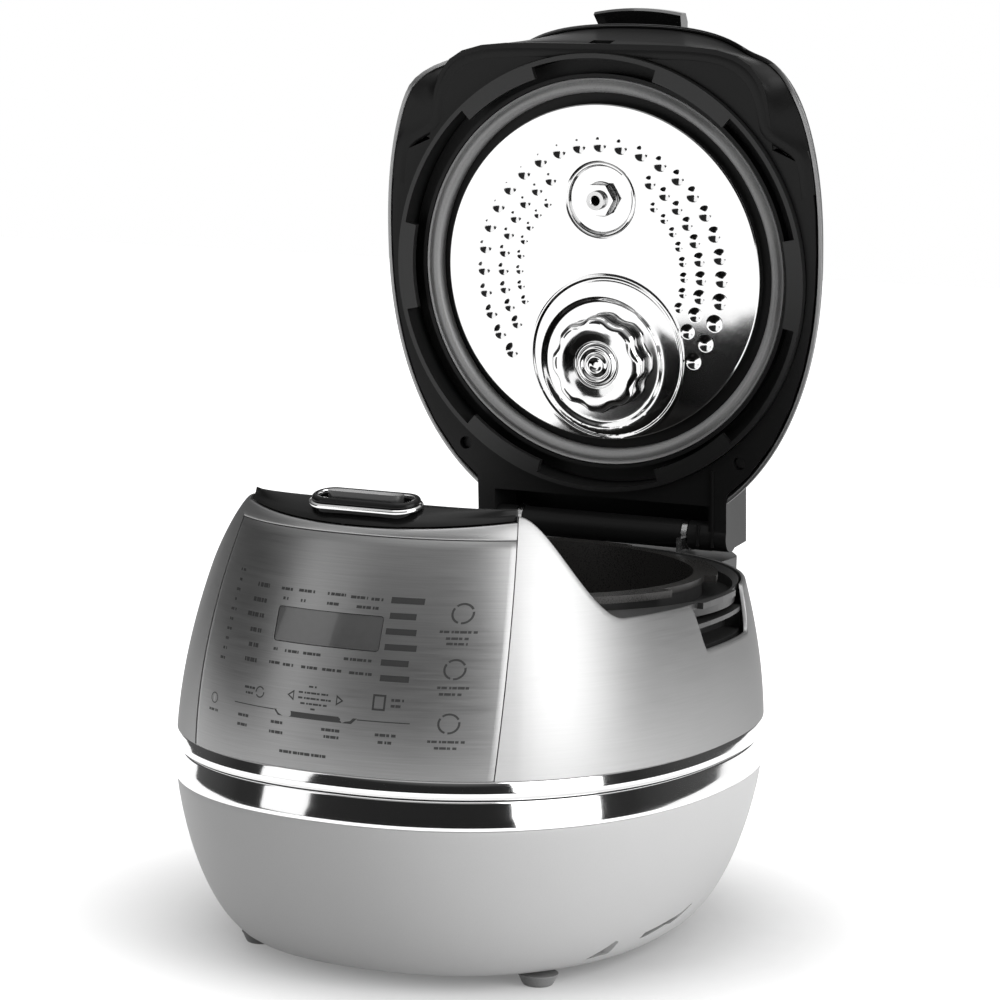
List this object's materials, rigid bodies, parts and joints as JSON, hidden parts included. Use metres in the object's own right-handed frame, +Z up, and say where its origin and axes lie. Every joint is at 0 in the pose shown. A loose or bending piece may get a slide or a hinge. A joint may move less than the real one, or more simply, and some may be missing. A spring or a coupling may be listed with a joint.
{
  "type": "rice cooker",
  "caption": "Rounded countertop rice cooker with a hinged lid held open, a lift-out pot, bayonet locking ring, removable inner cover and a front button.",
  "frame": {"origin": "on the floor under the middle of the cooker's box with its lid open", "axes": "+X to the right seen from the front, +Y to the rear, +Z up"},
  "size_m": [0.267, 0.3845, 0.4596],
  "materials": {
    "black_plastic": "fine moulded grain",
    "gloss_black": "high gloss",
    "silver_skin": "satin metallic paint",
    "chrome": "polished plating",
    "panel_metal": "brushed, tinted grey",
    "window": "smoked glossy",
    "display": "glossy",
    "circuit_board": "solder mask",
    "button_grey": "semi-gloss",
    "spring_steel": "drawn wire",
    "plated_steel": "zinc plated",
    "pot_coating": "non-stick coating, fine speckle",
    "ring_black": "satin black coating",
    "aluminium": "satin",
    "bobbin_plastic": "moulded",
    "copper": "enamelled wire",
    "ferrite": "sintered",
    "capacitor_sleeve": "shrink sleeve",
    "rubber": "matt",
    "clear_plastic": "smoked translucent",
    "lid_inner_plastic": "semi-gloss",
    "silicone": "dark grey silicone, slight sheen",
    "stainless": "fine satin",
    "brass": "turned"
  },
  "bodies": {
    "body": {"lower_case": "silver_skin", "chrome_band_lower": "chrome", "chrome_band_upper": "chrome", "side_wrap": "silver_skin", "control_panel": "panel_metal", "display_window": "window", "lcd_module": "display", "control_board": "circuit_board", "top_deck": "gloss_black", "deck_rim": "silver_skin", "button_bezel": "chrome", "button_spring": "spring_steel", "button_shelf": "black_plastic", "latch_pin": "plated_steel", "upper_frame": "black_plastic", "grip_pockets": "black_plastic", "pot_well": "aluminium", "coil_bobbin": "bobbin_plastic", "induction_coil": "copper", "ferrite_bars": "ferrite", "sensor_spring": "spring_steel", "sensor_seat": "black_plastic", "coil_posts": "black_plastic", "base_plate": "black_plastic", "feet": "rubber", "power_board": "circuit_board", "heat_sink": "aluminium", "capacitors": "capacitor_sleeve", "fan_housing": "black_plastic", "ac_inlet": "black_plastic", "rear_cover": "black_plastic", "dew_rails": "black_plastic", "hinge_brackets": "plated_steel", "hinge_pin": "plated_steel", "torsion_springs": "spring_steel"},
    "button": {"open_button": "button_grey"},
    "latch": {"latch_catch": "plated_steel"},
    "pot": {"inner_pot": "pot_coating"},
    "sensor": {"thermistor_sensor": "aluminium"},
    "fan": {"fan_rotor": "black_plastic"},
    "drip_cup": {"dew_dish": "clear_plastic"},
    "lid": {"lid_shell": "silver_skin", "lid_top_panel": "gloss_black", "lid_frame": "lid_inner_plastic", "frame_screws": "plated_steel", "lid_striker": "plated_steel", "lid_plate": "plated_steel", "lid_gasket": "silicone", "knob_stud": "plated_steel", "steam_nozzle": "stainless", "nozzle_nut": "stainless", "steam_duct": "black_plastic"},
    "lock": {"locking_ring": "ring_black", "lock_spindle": "plated_steel", "lock_lever": "gloss_black"},
    "inner_cover": {"inner_dish": "stainless", "dish_packing": "silicone"},
    "cover_knob": {"dish_knob": "stainless"},
    "weight": {"pressure_weight": "brass"},
    "vent_cap": {"steam_cap": "black_plastic"}
  },
  "joints": [
    {"name": "lid_hinge", "type": "hinge", "parent": "body", "child": "lid", "pos_m": [0, 0.131, 0.1846], "axis": [1, 0, 0], "range_deg": [0, 84.2], "stiffness_Nm_per_rad": 1.2, "springref_deg": -51.57},
    {"name": "button_press", "type": "slide", "parent": "body", "child": "button", "axis": [0, 0, -1], "range_m": [0, 0.0025], "stiffness_N_per_m": 900, "springref_m": -0.001, "deforming": ["button_spring"]},
    {"name": "latch_turn", "type": "hinge", "parent": "body", "child": "latch", "pos_m": [0, -0.143, 0.208], "axis": [-1, 0, 0], "range_deg": [0, 18]},
    {"name": "pot_lift", "type": "slide", "parent": "body", "child": "pot", "axis": [0, 0, -1], "range_m": [-0.125, 0]},
    {"name": "sensor_press", "type": "slide", "parent": "body", "child": "sensor", "axis": [0, 0, 1], "range_m": [-0.002, 0], "stiffness_N_per_m": 600, "springref_m": 0.001, "deforming": ["sensor_spring"]},
    {"name": "fan_spin", "type": "hinge", "parent": "body", "child": "fan", "pos_m": [0.034, 0.028, 0.014], "axis": [0, 0, 1], "continuous": true},
    {"name": "drip_cup_pull", "type": "slide", "parent": "body", "child": "drip_cup", "axis": [0, 1, 0], "range_m": [0, 0.03]},
    {"name": "lock_turn", "type": "hinge", "parent": "lid", "child": "lock", "pos_m": [0, 0.10865, 0.31953], "axis": [0, 0.9949, 0.1011], "range_deg": [0, 30]},
    {"name": "cover_pull", "type": "slide", "parent": "lid", "child": "inner_cover", "axis": [0, -0.9949, -0.1011], "range_m": [0, 0.05]},
    {"name": "knob_turn", "type": "hinge", "parent": "inner_cover", "child": "cover_knob", "pos_m": [0, 0.11146, 0.27207], "axis": [0, 0.9949, 0.1011], "range_deg": [0, 90]},
    {"name": "weight_lift", "type": "slide", "parent": "lid", "child": "weight", "axis": [0, 0.9949, 0.1011], "range_m": [0, 0.003]},
    {"name": "cap_lift", "type": "slide", "parent": "lid", "child": "vent_cap", "axis": [0, 0.9949, 0.1011], "range_m": [0, 0.03]}
  ],
  "couplings": [
    {"joint": "latch_turn", "follows": "button_press", "rad_per_m": 125}
  ]
}
